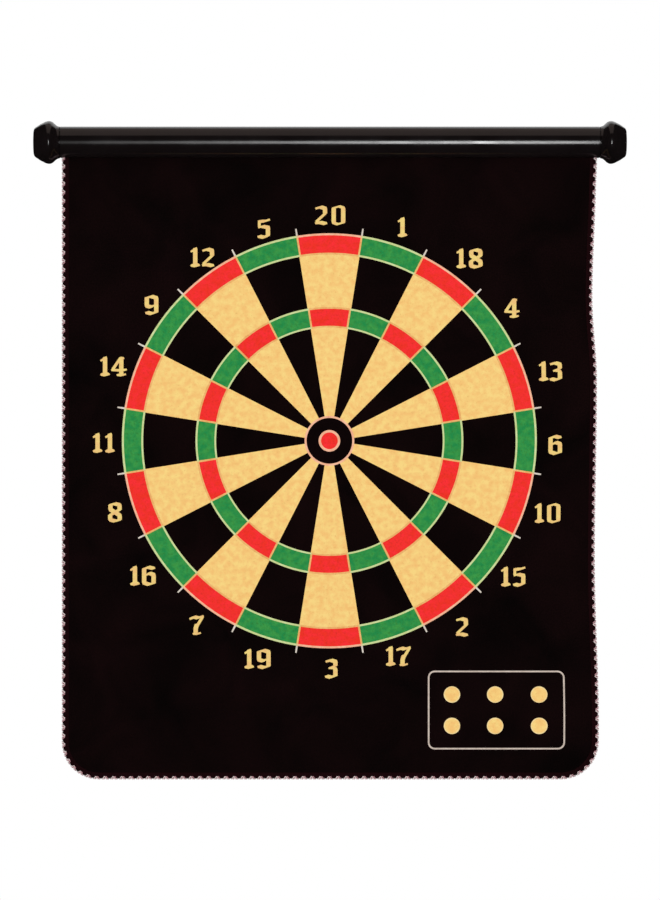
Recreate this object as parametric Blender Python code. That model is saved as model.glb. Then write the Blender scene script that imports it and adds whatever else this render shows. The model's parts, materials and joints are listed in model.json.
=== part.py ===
"""A roll-up magnetic dartboard: a flocked magnetic mat that hangs from a slotted plastic rail.

The origin is the middle of the rail's axis. +X runs along the rail, +Z is up, and the
target faces -Y. The mat hangs straight down. It is a laminate of a printed flocked face,
a magnetic rubber core and a flocked back, bound by overlocked edging. The bending that
rolls it up is divided into level bands, each turning on a hinge line in the mat's
middle plane, so every layer of the mat is one piece per band.
"""

import math

import bmesh
import bpy
from mathutils import Matrix

# Driving dimensions, in metres
MAT_WIDTH = 0.370
MAT_DROP = 0.441  # rail axis down to the mat's bottom edge
CORNER_RADIUS = 0.025
BAND_COUNT = 9

FLOCK_THICKNESS = 0.0004
CORE_THICKNESS = 0.0009
EDGING_THICKNESS = 0.00045
EDGING_WRAP = 0.004  # how far the edging reaches in over each face
LAYER_GAP = 0.0003  # between layers that touch in the real mat

FIRST_HINGE_DROP = 0.004  # from the rail's underside down to the first hinge line
FIRST_HINGE_GAP = 0.0054  # room that lets the first band turn 103 degrees
HINGE_GAP = 0.0036  # room that lets the other bands turn 80 degrees

RAIL_RADIUS = 0.011
RAIL_WALL = 0.0016
RAIL_OVERHANG = 0.0025  # rail end past the mat's side edge
SLOT_CLEARANCE = 0.0006  # slot edge to the edging, on each side

SPLINE_LEG = 0.0030
SPLINE_ROOF = 0.0018
SPLINE_HEIGHT = 0.0062
SPLINE_SIDE_CLEARANCE = 0.0003  # spline leg to the mat's face
SPLINE_END_CLEARANCE = 0.0005  # spline end to the edging

CAP_LENGTH = 0.0185
CAP_BELLY_RADIUS = 0.0149
CAP_BELLY_PLACE = 0.0076  # from the rail's end out to the widest point
CAP_FACE_RADIUS = 0.0094
CAP_LIP = 0.0008  # rounding round the outer face
CAP_JOINT_GAP = 0.0003  # rail end to the cap's shoulder
CAP_SHOULDER_SHARE = 0.2  # of the way out to the belly
CAP_SHOULDER_RISE = 0.0002  # above the rail's own radius
CAP_NECK_SHARE = 0.42  # of the way out to the belly
CAP_NECK_RISE = 0.0011  # above the rail's own radius
PLUG_LENGTH = 0.012
PLUG_CLEARANCE = 0.0003
PLUG_CHAMFER = 0.0008
PLUG_SLOT_CLEARANCE = 0.0005  # plug slot to the spline inside it

ROUND_STEPS = 48  # facets round the rail and the caps
CORNER_STEPS = 10  # facets in each bottom corner of the mat

# Sizes that follow from those
CORE_HALF = CORE_THICKNESS / 2
FLOCK_INNER = CORE_HALF + LAYER_GAP
MAT_HALF = FLOCK_INNER + FLOCK_THICKNESS
EDGING_INNER = MAT_HALF + LAYER_GAP
EDGING_OUTER = EDGING_INNER + EDGING_THICKNESS
EDGE_INSET = EDGING_THICKNESS + LAYER_GAP  # mat's outer edge in to the laminate's edge

HALF_WIDTH = MAT_WIDTH / 2
RAIL_HALF_LENGTH = HALF_WIDTH + RAIL_OVERHANG
BORE_RADIUS = RAIL_RADIUS - RAIL_WALL
SLOT_HALF = EDGING_OUTER + SLOT_CLEARANCE

SPLINE_INNER = MAT_HALF + SPLINE_SIDE_CLEARANCE
SPLINE_OUTER = SPLINE_INNER + SPLINE_LEG
SPLINE_HALF_LENGTH = HALF_WIDTH - EDGING_WRAP - SPLINE_END_CLEARANCE
SPLINE_BOTTOM = LAYER_GAP - math.sqrt(BORE_RADIUS**2 - SPLINE_OUTER**2)
SPLINE_TOP = SPLINE_BOTTOM + SPLINE_HEIGHT
HEADER_TOP = SPLINE_TOP - SPLINE_ROOF - LAYER_GAP

FIRST_HINGE = -(RAIL_RADIUS + FIRST_HINGE_DROP)
BAND_PITCH = (MAT_DROP + FIRST_HINGE) / BAND_COUNT
HINGES = [FIRST_HINGE - BAND_PITCH * i for i in range(BAND_COUNT)]


def clear_scene():
    for old in list(bpy.data.objects):
        bpy.data.objects.remove(old, do_unlink=True)


def plain_material(name, colour, roughness, metallic=0.0):
    material = bpy.data.materials.new(name)
    material.use_nodes = True
    shader = material.node_tree.nodes["Principled BSDF"]
    shader.inputs["Base Color"].default_value = (*colour, 1.0)
    shader.inputs["Roughness"].default_value = roughness
    shader.inputs["Metallic"].default_value = metallic
    return material


def object_from(bm, name, material, parent=None, origin=(0, 0, 0)):
    """Finishes a mesh drawn in the part's own frame, and puts its origin at its hinge."""
    bmesh.ops.recalc_face_normals(bm, faces=bm.faces)
    bmesh.ops.translate(bm, verts=bm.verts, vec=[-c for c in origin])
    mesh = bpy.data.meshes.new(name)
    bm.to_mesh(mesh)
    bm.free()
    mesh.materials.append(material)
    mesh.shade_smooth()
    mesh.set_sharp_from_angle(angle=math.radians(35))
    made = bpy.data.objects.new(name, mesh)
    bpy.context.scene.collection.objects.link(made)
    if parent is None:
        made.location = origin
    else:
        made.parent = parent
    return made


def extruded(quads, axis, low, high):
    """A prism over quads, each four corners in the plane across the axis ('x' or 'y')."""
    bm = bmesh.new()

    def vertex(corner):
        across, up = corner
        return bm.verts.new((low, across, up) if axis == "x" else (across, low, up))

    for quad in quads:
        bm.faces.new([vertex(corner) for corner in quad])
    bmesh.ops.remove_doubles(bm, verts=bm.verts, dist=1e-6)
    raised = bmesh.ops.extrude_face_region(bm, geom=bm.faces[:], use_keep_orig=True)
    moved = [part for part in raised["geom"] if isinstance(part, bmesh.types.BMVert)]
    shift = (high - low, 0, 0) if axis == "x" else (0, high - low, 0)
    bmesh.ops.translate(bm, verts=moved, vec=shift)
    return bm


def arc(centre, radius, start, end, steps):
    """Points from one angle to the other, in degrees, both ends included."""
    angles = [math.radians(start + (end - start) * i / steps) for i in range(steps + 1)]
    return [
        (centre[0] + radius * math.cos(a), centre[1] + radius * math.sin(a)) for a in angles
    ]


# Rail, spline and end caps


def make_rail(material):
    outer_slot = math.degrees(math.asin(SLOT_HALF / RAIL_RADIUS))
    inner_slot = math.degrees(math.asin(SLOT_HALF / BORE_RADIUS))
    outer = arc((0, 0), RAIL_RADIUS, -90 + outer_slot, 270 - outer_slot, ROUND_STEPS)
    inner = arc((0, 0), BORE_RADIUS, -90 + inner_slot, 270 - inner_slot, ROUND_STEPS)
    quads = [
        (outer[i], outer[i + 1], inner[i + 1], inner[i]) for i in range(ROUND_STEPS)
    ]
    bm = extruded(quads, "x", -RAIL_HALF_LENGTH, RAIL_HALF_LENGTH)
    return object_from(bm, "rail_tube", material)


def make_spline(material):
    """An upturned channel that grips the mat's top edge and can't pass the rail's slot."""
    roof = SPLINE_TOP - SPLINE_ROOF
    columns = (
        (-SPLINE_OUTER, -SPLINE_INNER),
        (-SPLINE_INNER, SPLINE_INNER),
        (SPLINE_INNER, SPLINE_OUTER),
    )
    quads = [
        ((a, roof), (b, roof), (b, SPLINE_TOP), (a, SPLINE_TOP)) for a, b in columns
    ]
    quads += [
        ((a, SPLINE_BOTTOM), (b, SPLINE_BOTTOM), (b, roof), (a, roof))
        for a, b in (columns[0], columns[2])
    ]
    bm = extruded(quads, "x", -SPLINE_HALF_LENGTH, SPLINE_HALF_LENGTH)
    return object_from(bm, "mat_spline", material)


def cap_profile():
    """(distance out from the rail's end, radius), from the plug's inner end to the face."""
    plug = BORE_RADIUS - PLUG_CLEARANCE
    shoulder_x = CAP_BELLY_PLACE * CAP_SHOULDER_SHARE
    neck_x = CAP_BELLY_PLACE * CAP_NECK_SHARE
    neck_r = RAIL_RADIUS + CAP_NECK_RISE
    profile = [
        (-PLUG_LENGTH, 0.0),
        (-PLUG_LENGTH, plug - PLUG_CHAMFER),
        (-PLUG_LENGTH + PLUG_CHAMFER, plug),
        (CAP_JOINT_GAP, plug),
        (CAP_JOINT_GAP, RAIL_RADIUS),
        (shoulder_x, RAIL_RADIUS + CAP_SHOULDER_RISE),
        (neck_x, neck_r),
    ]
    steps = 5  # from the neck up to the belly, easing in and out
    for i in range(1, steps + 1):
        t = i / steps
        ease = (t * t * (3 - 2 * t) + t) / 2
        x = neck_x + (CAP_BELLY_PLACE - neck_x) * t
        profile.append((x, neck_r + (CAP_BELLY_RADIUS - neck_r) * ease))
    face = CAP_FACE_RADIUS
    steps = 8  # the belly's quarter ellipse down to the outer face's lip
    for i in range(1, steps + 1):
        turn = math.radians(90 * i / steps)
        x = CAP_BELLY_PLACE + (CAP_LENGTH - CAP_LIP - CAP_BELLY_PLACE) * math.sin(turn)
        r = face + (CAP_BELLY_RADIUS - face) * math.cos(turn)
        profile.append((x, r))
    rounding = CAP_LIP * (1 - math.cos(math.radians(45)))
    profile.append((CAP_LENGTH - rounding, face - rounding))
    profile.append((CAP_LENGTH, face - CAP_LIP))
    profile.append((CAP_LENGTH, 0.0))
    return profile


def make_cap(name, side, material):
    """A turned knob with a plug that fills the rail's end and straddles the spline."""
    bm = bmesh.new()
    points = [bm.verts.new((x, 0.0, r)) for x, r in cap_profile()]
    edges = [bm.edges.new(pair) for pair in zip(points, points[1:])]
    bmesh.ops.spin(
        bm,
        geom=points + edges,
        cent=(0, 0, 0),
        axis=(1, 0, 0),
        angle=2 * math.pi,
        steps=ROUND_STEPS,
        use_duplicate=False,
    )
    bmesh.ops.remove_doubles(bm, verts=bm.verts, dist=1e-6)
    cap = object_from(bm, name, material)
    cap.location.x = side * RAIL_HALF_LENGTH
    cap.rotation_euler.z = 0.0 if side > 0 else math.pi

    slot_half = SPLINE_OUTER + PLUG_SLOT_CLEARANCE
    slot_top = SPLINE_TOP + PLUG_SLOT_CLEARANCE
    slot_floor = -2 * RAIL_RADIUS
    slot_start = -2 * PLUG_LENGTH
    slot_end = -(RAIL_OVERHANG - PLUG_SLOT_CLEARANCE)
    middle = ((slot_start + slot_end) / 2, 0, (slot_floor + slot_top) / 2)
    sides = (slot_end - slot_start, 2 * slot_half, slot_top - slot_floor, 1)
    bm = bmesh.new()
    place = Matrix.Translation(middle) @ Matrix.Diagonal(sides)
    bmesh.ops.create_cube(bm, size=1.0, matrix=place)
    cutter = object_from(bm, name + "_slot_cutter", material)
    cutter.location = cap.location
    cutter.rotation_euler = cap.rotation_euler
    cutter.hide_render = True
    cutter.display_type = "WIRE"
    cut = cap.modifiers.new("plug_slot", "BOOLEAN")
    cut.operation = "DIFFERENCE"
    cut.solver = "EXACT"
    cut.object = cutter
    return cap


# Mat


def laminate_quads(top, bottom, rounded):
    """One band's outline inside the edging, as quads that run across the mat."""
    side = HALF_WIDTH - EDGE_INSET
    if not rounded:
        return [((-side, bottom), (side, bottom), (side, top), (-side, top))]
    radius = CORNER_RADIUS - EDGE_INSET
    centre = (side - radius, bottom + EDGE_INSET + radius)
    right = [(side, top)] + arc(centre, radius, 0, -90, CORNER_STEPS)
    return [
        ((-right[i + 1][0], right[i + 1][1]), right[i + 1], right[i], (-right[i][0], right[i][1]))
        for i in range(len(right) - 1)
    ]


def make_layer(name, top, bottom, rounded, faces, material, parent, origin):
    bm = extruded(laminate_quads(top, bottom, rounded), "y", *faces)
    return object_from(bm, name, material, parent, origin)


def make_edging(name, stations, material, parent, origin):
    """A U channel swept along the mat's edge: stations are (x, z, inward x, inward z)."""
    section = [
        (0, -EDGING_OUTER),
        (EDGING_WRAP, -EDGING_OUTER),
        (EDGING_WRAP, -EDGING_INNER),
        (EDGING_THICKNESS, -EDGING_INNER),
        (EDGING_THICKNESS, EDGING_INNER),
        (EDGING_WRAP, EDGING_INNER),
        (EDGING_WRAP, EDGING_OUTER),
        (0, EDGING_OUTER),
    ]
    bm = bmesh.new()
    rings = [
        [bm.verts.new((x + nx * depth, y, z + nz * depth)) for depth, y in section]
        for x, z, nx, nz in stations
    ]
    around = len(section)
    for one, two in zip(rings, rings[1:]):
        for i in range(around):
            j = (i + 1) % around
            bm.faces.new((one[i], one[j], two[j], two[i]))
    for end in (rings[0], rings[-1]):
        bm.faces.new((end[0], end[1], end[2], end[3]))
        bm.faces.new((end[0], end[3], end[4], end[7]))
        bm.faces.new((end[4], end[5], end[6], end[7]))
    return object_from(bm, name, material, parent, origin)


def side_stations(side, top, bottom):
    return [(side * HALF_WIDTH, z, -side, 0) for z in (top, bottom)]


def bottom_stations(top, bottom):
    """Down the left side, round both bottom corners and up the right side."""
    reach = HALF_WIDTH - CORNER_RADIUS
    stations = [(-HALF_WIDTH, top, 1, 0)]
    for side, start in ((-1, 180), (1, 270)):
        for i in range(CORNER_STEPS + 1):
            turn = math.radians(start + 90 * i / CORNER_STEPS)
            out_x, out_z = math.cos(turn), math.sin(turn)
            stations.append(
                (
                    side * reach + CORNER_RADIUS * out_x,
                    bottom + CORNER_RADIUS + CORNER_RADIUS * out_z,
                    -out_x,
                    -out_z,
                )
            )
    stations.append((HALF_WIDTH, top, -1, 0))
    return stations


def make_strip(label, top, bottom, materials, parent=None, origin=(0, 0, 0), last=False):
    """Every layer of the mat between two levels, with the edging round it."""
    layers = (
        ("front_flock", (-MAT_HALF, -FLOCK_INNER)),
        ("magnetic_core", (-CORE_HALF, CORE_HALF)),
        ("back_flock", (FLOCK_INNER, MAT_HALF)),
    )
    for layer, faces in layers:
        name = f"{layer}_{label}"
        make_layer(name, top, bottom, last, faces, materials[layer], parent, origin)
    edging = materials["edging"]
    if last:
        stations = bottom_stations(top, bottom)
        make_edging("edging_bottom", stations, edging, parent, origin)
        return
    for side, word in ((-1, "left"), (1, "right")):
        stations = side_stations(side, top, bottom)
        make_edging(f"edging_{word}_{label}", stations, edging, parent, origin)


def make_mat(materials):
    make_strip("header", HEADER_TOP, FIRST_HINGE + FIRST_HINGE_GAP / 2, materials)
    parent = None
    for i, hinge in enumerate(HINGES):
        empty = bpy.data.objects.new(f"hinge_{i + 1}", None)
        bpy.context.scene.collection.objects.link(empty)
        empty.location.z = hinge if parent is None else -BAND_PITCH
        empty.parent = parent
        top = hinge - (FIRST_HINGE_GAP if i == 0 else HINGE_GAP) / 2
        last = i == BAND_COUNT - 1
        bottom = -MAT_DROP if last else HINGES[i + 1] + HINGE_GAP / 2
        make_strip(str(i + 1), top, bottom, materials, empty, (0, 0, hinge), last)
        parent = empty


def main():
    clear_scene()
    rail_plastic = plain_material("rail_gloss_plastic", (0.012, 0.010, 0.010), 0.22)
    spline_plastic = plain_material("spline_plastic", (0.35, 0.35, 0.34), 0.5)
    mat_materials = {
        "front_flock": plain_material("front_flock_black", (0.004, 0.003, 0.003), 0.95),
        "magnetic_core": plain_material("magnetic_rubber", (0.05, 0.045, 0.042), 0.8),
        "back_flock": plain_material("back_flock_black", (0.006, 0.005, 0.005), 0.95),
        "edging": plain_material("edging_thread", (0.16, 0.02, 0.025), 0.85),
    }
    make_rail(rail_plastic)
    make_spline(spline_plastic)
    make_cap("end_cap_left", -1, rail_plastic)
    make_cap("end_cap_right", 1, rail_plastic)
    make_mat(mat_materials)


main()
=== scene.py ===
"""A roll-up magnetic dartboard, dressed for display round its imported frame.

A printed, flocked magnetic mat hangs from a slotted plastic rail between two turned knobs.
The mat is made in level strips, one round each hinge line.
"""

import json
import math

import bmesh
import bpy
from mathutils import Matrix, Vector


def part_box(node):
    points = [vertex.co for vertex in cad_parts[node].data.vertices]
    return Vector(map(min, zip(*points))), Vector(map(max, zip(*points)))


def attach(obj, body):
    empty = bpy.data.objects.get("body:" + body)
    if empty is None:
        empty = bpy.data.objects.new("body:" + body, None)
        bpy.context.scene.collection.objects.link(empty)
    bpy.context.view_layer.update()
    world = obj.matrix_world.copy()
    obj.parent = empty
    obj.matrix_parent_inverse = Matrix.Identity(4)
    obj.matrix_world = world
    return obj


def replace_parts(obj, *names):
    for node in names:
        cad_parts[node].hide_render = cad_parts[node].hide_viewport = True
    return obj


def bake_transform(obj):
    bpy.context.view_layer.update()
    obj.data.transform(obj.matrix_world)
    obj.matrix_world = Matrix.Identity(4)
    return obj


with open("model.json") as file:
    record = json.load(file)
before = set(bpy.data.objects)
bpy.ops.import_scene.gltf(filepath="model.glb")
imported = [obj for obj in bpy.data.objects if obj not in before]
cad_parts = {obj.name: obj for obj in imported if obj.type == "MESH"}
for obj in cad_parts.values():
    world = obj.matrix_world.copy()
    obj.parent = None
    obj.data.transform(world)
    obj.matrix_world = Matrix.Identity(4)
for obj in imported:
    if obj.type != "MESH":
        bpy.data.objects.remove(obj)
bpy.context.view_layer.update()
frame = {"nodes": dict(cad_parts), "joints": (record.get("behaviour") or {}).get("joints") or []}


# ---- Rail tube ----
# An extruded tube of black PVC, 22 mm across, with a slot along its underside that the mat
# hangs through. The die leaves a hard gloss with faint lines along its length.

RAIL_WALL = 0.0016
RAIL_SIDES = 160  # vertices round the tube, so that its outline and highlights stay round
RAIL_END_BEVEL = 0.0003
SLOT_ROOM = 0.0006  # from the mat's edging to the slot's lip

rail_low, rail_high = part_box("rail_tube")
rail_radius = rail_high.z
slot_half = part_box("edging_left_header")[1].y + SLOT_ROOM


def linear(colour):
    """An sRGB hex colour as linear red, green, blue and alpha."""
    parts = [int(colour[i : i + 2], 16) / 255 for i in (1, 3, 5)]
    return [c / 12.92 if c <= 0.04045 else ((c + 0.055) / 1.055) ** 2.4 for c in parts] + [1.0]


def add_node(material, kind, inputs=None, **settings):
    """Adds a node with its settings. An input is given a value, or a socket to link from."""
    node = material.node_tree.nodes.new(kind)
    for name, value in settings.items():
        setattr(node, name, value)
    for name, value in (inputs or {}).items():
        if isinstance(value, bpy.types.NodeSocket):
            material.node_tree.links.new(value, node.inputs[name])
        else:
            node.inputs[name].default_value = value
    return node


def new_finish(name, roughness, ior=1.5):
    """A material with a plain shader, and that shader."""
    material = bpy.data.materials.new(name)
    material.use_nodes = True
    shader = material.node_tree.nodes["Principled BSDF"]
    shader.inputs["Roughness"].default_value = roughness
    shader.inputs["IOR"].default_value = ior
    return material, shader


def feed(material, shader, **sockets):
    """Links sockets to the shader's inputs of the same name, underscores read as spaces."""
    for name, socket in sockets.items():
        material.node_tree.links.new(socket, shader.inputs[name.replace("_", " ")])


def pick(obj):
    """Makes one object the only one selected, and active."""
    bpy.ops.object.select_all(action="DESELECT")
    obj.select_set(True)
    bpy.context.view_layer.objects.active = obj


def start_edit(obj, mode="VERT"):
    """Goes into edit mode on one object, with nothing selected."""
    pick(obj)
    bpy.ops.object.mode_set(mode="EDIT")
    bpy.ops.mesh.select_mode(type=mode)
    bpy.ops.mesh.select_all(action="DESELECT")


def select_where(obj, kind, test):
    """In edit mode, selects the verts, edges or faces that pass the test, and no others."""
    bpy.ops.mesh.select_all(action="DESELECT")
    mesh = bmesh.from_edit_mesh(obj.data)
    count = 0
    for part in getattr(mesh, kind):
        if test(part):
            part.select_set(True)
            count += 1
    bmesh.update_edit_mesh(obj.data)
    return count


def end_edit():
    bpy.ops.object.mode_set(mode="OBJECT")


def settle(obj, name, *materials):
    """Names a new object, gives it its materials, and puts its place into its mesh."""
    pick(obj)
    bpy.ops.object.transform_apply(location=True, rotation=True, scale=True)
    obj.name = obj.data.name = name
    for material in materials:
        obj.data.materials.append(material)
    return obj


def apply_modifier(obj, kind, **settings):
    """Adds one modifier with its settings, and applies it."""
    pick(obj)
    modifier = obj.modifiers.new(kind.lower(), kind)
    for name, value in settings.items():
        setattr(modifier, name, value)
    bpy.ops.object.modifier_apply(modifier=modifier.name)
    return obj


def smooth(obj, degrees):
    """Smooth shading, with edges sharper than this angle kept crisp."""
    pick(obj)
    bpy.ops.object.shade_smooth_by_angle(angle=math.radians(degrees))
    return obj


def face_outwards(obj):
    start_edit(obj)
    bpy.ops.mesh.select_all(action="SELECT")
    bpy.ops.mesh.remove_doubles(threshold=1e-7)
    bpy.ops.mesh.normals_make_consistent(inside=False)
    end_edit()


# PVC straight from the die: black right through, a hard gloss, and draw lines about a
# millimetre apart that break up the edge of each reflection along the tube.
rail_plastic, shader = new_finish("black_gloss_pvc_extruded", 0.16, 1.53)
place = add_node(rail_plastic, "ShaderNodeTexCoord")
along = add_node(
    rail_plastic,
    "ShaderNodeMapping",
    {"Vector": place.outputs["Object"], "Scale": (6.0, 900.0, 900.0)},
)
draw_lines = add_node(
    rail_plastic, "ShaderNodeTexNoise", {"Vector": along.outputs[0], "Scale": 1.0, "Detail": 3.0}
)
handled = add_node(
    rail_plastic,
    "ShaderNodeTexNoise",
    {"Vector": place.outputs["Object"], "Scale": 45.0, "Detail": 4.0},
)
tone = add_node(
    rail_plastic,
    "ShaderNodeMix",
    {0: handled.outputs["Fac"], 6: linear("#0B0808"), 7: linear("#171112")},
    data_type="RGBA",
)
gloss = add_node(
    rail_plastic,
    "ShaderNodeMapRange",
    {"Value": handled.outputs["Fac"], "From Min": 0.3, "From Max": 0.7, "To Min": 0.12, "To Max": 0.22},
)
ridges = add_node(
    rail_plastic,
    "ShaderNodeBump",
    {"Height": draw_lines.outputs["Fac"], "Strength": 0.12, "Distance": 0.0001},
)
feed(
    rail_plastic,
    shader,
    Base_Color=tone.outputs[2],
    Roughness=gloss.outputs[0],
    Normal=ridges.outputs[0],
)

bpy.ops.object.select_all(action="DESELECT")
bpy.ops.mesh.primitive_circle_add(
    vertices=RAIL_SIDES,
    radius=rail_radius,
    location=(rail_low.x, 0, 0),
    rotation=(0, math.pi / 2, 0),
)
rail = settle(bpy.context.object, "rail_tube_gloss", rail_plastic)
start_edit(rail)
select_where(rail, "verts", lambda v: v.co.z < 0 and abs(v.co.y) < slot_half)
bpy.ops.mesh.delete(type="VERT")
for side in (-1, 1):  # each lip is brought to the slot's exact width
    mesh = bmesh.from_edit_mesh(rail.data)
    lip = max((v for v in mesh.verts if side * v.co.y > 0), key=lambda v: -v.co.z)
    lip.co.y = side * slot_half
    lip.co.z = -math.sqrt(rail_radius**2 - slot_half**2)
bmesh.update_edit_mesh(rail.data)
bpy.ops.mesh.select_all(action="SELECT")
bpy.ops.mesh.extrude_region_move(
    TRANSFORM_OT_translate={"value": (rail_high.x - rail_low.x, 0, 0)}
)
bpy.ops.mesh.select_all(action="SELECT")
bpy.ops.mesh.normals_make_consistent(inside=False)
mesh = bmesh.from_edit_mesh(rail.data)
if sum(f.normal.z * f.calc_center_median().z for f in mesh.faces) < 0:
    bpy.ops.mesh.flip_normals()
end_edit()
apply_modifier(rail, "SOLIDIFY", thickness=RAIL_WALL, offset=-1)
apply_modifier(rail, "BEVEL", width=RAIL_END_BEVEL, segments=2, limit_method="ANGLE")
start_edit(rail)
for x in (rail_low.x + 2 * RAIL_END_BEVEL, rail_high.x - 2 * RAIL_END_BEVEL):
    # A ring beside each bevel, which keeps the shading of the long faces straight.
    bpy.ops.mesh.select_all(action="SELECT")
    bpy.ops.mesh.bisect(plane_co=(x, 0, 0), plane_no=(1, 0, 0))
end_edit()
smooth(rail, 40)
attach(rail, "rail")
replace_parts(rail, "rail_tube")


# ---- Spline ----
# A white PVC channel inside the rail, which grips the mat's top edge and can't come out
# through the slot. The frame's own piece has its true shape, so it only needs its finish.

spline_plastic, shader = new_finish("natural_pvc_channel", 0.45, 1.53)
place = add_node(spline_plastic, "ShaderNodeTexCoord")
drawn = add_node(
    spline_plastic,
    "ShaderNodeMapping",
    {"Vector": place.outputs["Object"], "Scale": (8.0, 1200.0, 1200.0)},
)
streaks = add_node(
    spline_plastic, "ShaderNodeTexNoise", {"Vector": drawn.outputs[0], "Scale": 1.0}
)
tone = add_node(
    spline_plastic,
    "ShaderNodeMix",
    {0: streaks.outputs["Fac"], 6: linear("#B9B6AE"), 7: linear("#CFCCC4")},
    data_type="RGBA",
)
feed(spline_plastic, shader, Base_Color=tone.outputs[2])
spline = frame["nodes"]["mat_spline"]
spline.data.materials.clear()
spline.data.materials.append(spline_plastic)
spline_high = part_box("mat_spline")[1]


# ---- End caps ----
# Two knobs moulded in glossy black ABS, each pressed into the rail's end on a plug that
# straddles the spline. A neck flares to a round belly, which falls to a flat face with a
# rounded lip and the small dimple of the mould's gate.

CAP_SIDES = 128
PLUG_SLOT_ROOM = 0.0005  # between the plug's slot and the spline inside it
PLUG_SLOT_LENGTH = 0.024  # back from the rail's end, so that the mat's stitching has room
PLUG_SLOT_HEIGHT = 0.030  # more than the plug's, so that its slot is open below
# Distance out from the rail's end, then radius, both in millimetres
CAP_PROFILE = (
    (-12.0, 8.3),
    (-11.2, 9.1),
    (0.3, 9.1),
    (0.3, 10.7),
    (0.5, 11.0),
    (1.4, 11.15),
    (2.3, 11.5),
    (3.2, 12.15),
    (4.1, 13.0),
    (5.0, 13.8),
    (5.9, 14.4),
    (6.8, 14.77),
    (7.6, 14.88),
    (8.6, 14.8),
    (9.7, 14.55),
    (10.9, 14.1),
    (12.1, 13.45),
    (13.3, 12.9),
    (14.4, 12.2),
    (15.5, 11.5),
    (16.1, 11.1),
    (16.5, 10.85),
    (17.1, 10.45),
    (17.8, 9.85),
    (18.25, 9.1),
    (18.45, 8.4),
    (18.5, 7.6),
    (18.4, 6.4),
    (18.25, 4.0),
    (18.2, 2.2),
    (18.05, 1.7),
    (17.6, 1.2),
    (17.5, 0.5),
)

cap_plastic, shader = new_finish("black_gloss_abs_moulded", 0.14, 1.54)
place = add_node(cap_plastic, "ShaderNodeTexCoord")
sink = add_node(
    cap_plastic,
    "ShaderNodeTexNoise",
    {"Vector": place.outputs["Object"], "Scale": 120.0, "Detail": 2.0},
)
scuffs = add_node(
    cap_plastic,
    "ShaderNodeTexNoise",
    {"Vector": place.outputs["Object"], "Scale": 700.0, "Detail": 6.0},
)
tone = add_node(
    cap_plastic,
    "ShaderNodeMix",
    {0: sink.outputs["Fac"], 6: linear("#0A0707"), 7: linear("#150F10")},
    data_type="RGBA",
)
gloss = add_node(
    cap_plastic,
    "ShaderNodeMapRange",
    {"Value": scuffs.outputs["Fac"], "From Min": 0.35, "From Max": 0.7, "To Min": 0.1, "To Max": 0.24},
)
ripple = add_node(
    cap_plastic,
    "ShaderNodeBump",
    {"Height": sink.outputs["Fac"], "Strength": 0.25, "Distance": 0.0004},
)
feed(
    cap_plastic,
    shader,
    Base_Color=tone.outputs[2],
    Roughness=gloss.outputs[0],
    Normal=ripple.outputs[0],
)


def turn_cap(name, side):
    """Turns one knob on the rail's axis, a ring of vertices for each step of its profile."""
    steps = [(side * (rail_high.x + x / 1000), r / 1000) for x, r in CAP_PROFILE]
    x, radius = steps[0]
    bpy.ops.object.select_all(action="DESELECT")
    bpy.ops.mesh.primitive_circle_add(
        vertices=CAP_SIDES,
        radius=radius,
        fill_type="NGON",
        location=(x, 0, 0),
        rotation=(0, math.pi / 2, 0),
    )
    cap = settle(bpy.context.object, name, cap_plastic)
    start_edit(cap)
    bpy.ops.mesh.select_all(action="SELECT")
    for next_x, next_radius in steps[1:]:
        bpy.ops.mesh.extrude_region_move(
            TRANSFORM_OT_translate={"value": (next_x - x, 0, 0)}
        )
        share = next_radius / radius
        bpy.ops.transform.resize(value=(1, share, share), center_override=(next_x, 0, 0))
        x, radius = next_x, next_radius
    bpy.ops.mesh.select_all(action="DESELECT")
    bpy.ops.mesh.select_non_manifold()
    bpy.ops.mesh.edge_face_add()
    end_edit()
    face_outwards(cap)

    bpy.ops.object.select_all(action="DESELECT")
    bpy.ops.mesh.primitive_cube_add(size=1)
    cutter = bpy.context.object
    cutter.scale = (PLUG_SLOT_LENGTH, 2 * (spline_high.y + PLUG_SLOT_ROOM), PLUG_SLOT_HEIGHT)
    cutter.location = (
        side * (rail_high.x - PLUG_SLOT_LENGTH / 2),
        0,
        spline_high.z + PLUG_SLOT_ROOM - PLUG_SLOT_HEIGHT / 2,
    )
    settle(cutter, name + "_slot_cutter")
    apply_modifier(cap, "BOOLEAN", operation="DIFFERENCE", solver="EXACT", object=cutter)
    bpy.data.objects.remove(cutter)
    smooth(cap, 35)
    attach(cap, "rail")
    return cap


for name, side in (("left", -1), ("right", 1)):
    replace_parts(turn_cap("knob_" + name, side), "end_cap_" + name)


# ---- Mat: how it hangs, and where it bends ----
# The mat is one laminate, 370 mm wide. Each layer is laid out whole, cut on one grid that is
# fine where the mat bends, then parted into nine strips, one round each hinge line.

BEND_REACH = 0.010  # from a hinge line to where its bend starts and ends
FIRST_BEND_START = 0.001  # below the rail's underside
BEND_STEPS = 10
FOOT_ROWS = (0.010, 0.020, 0.030)  # more rows below the last bend, for the face to waver
COLUMN_PITCH = 0.010
CORNER_RADIUS = 0.025
CORNER_STEPS = 14
NEAR_END = 0.001  # what lies within this of an outline's end counts as being on it
SIDE_CURL_START = 0.120  # from the middle of the mat out to where its right side wavers
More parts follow.
